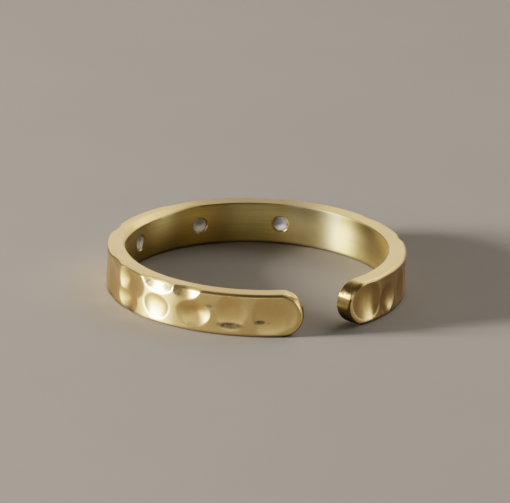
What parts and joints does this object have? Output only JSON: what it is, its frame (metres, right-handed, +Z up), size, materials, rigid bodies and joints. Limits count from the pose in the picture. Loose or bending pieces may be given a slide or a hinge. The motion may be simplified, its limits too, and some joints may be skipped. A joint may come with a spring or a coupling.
{
  "type": "labradorite ring",
  "caption": "Open finger ring with a hammered outer wall, rounded ends and small round cut stones set flush over open back holes.",
  "frame": {"origin": "centre of the finger hole, on the surface that the lower rim rests on", "axes": "+Z up along the finger hole, +Y towards the middle stone, -Y towards the open ends"},
  "size_m": [0.0193, 0.0193, 0.0028],
  "materials": {
    "gold": "satin gold plate, hammered outside, brushed inside",
    "labradorite": "polished, pale grey, slightly clear"
  },
  "bodies": {
    "root": {"band": "gold", "stone_left": "labradorite", "stone_middle": "labradorite", "stone_right": "labradorite"}
  },
  "joints": []
}
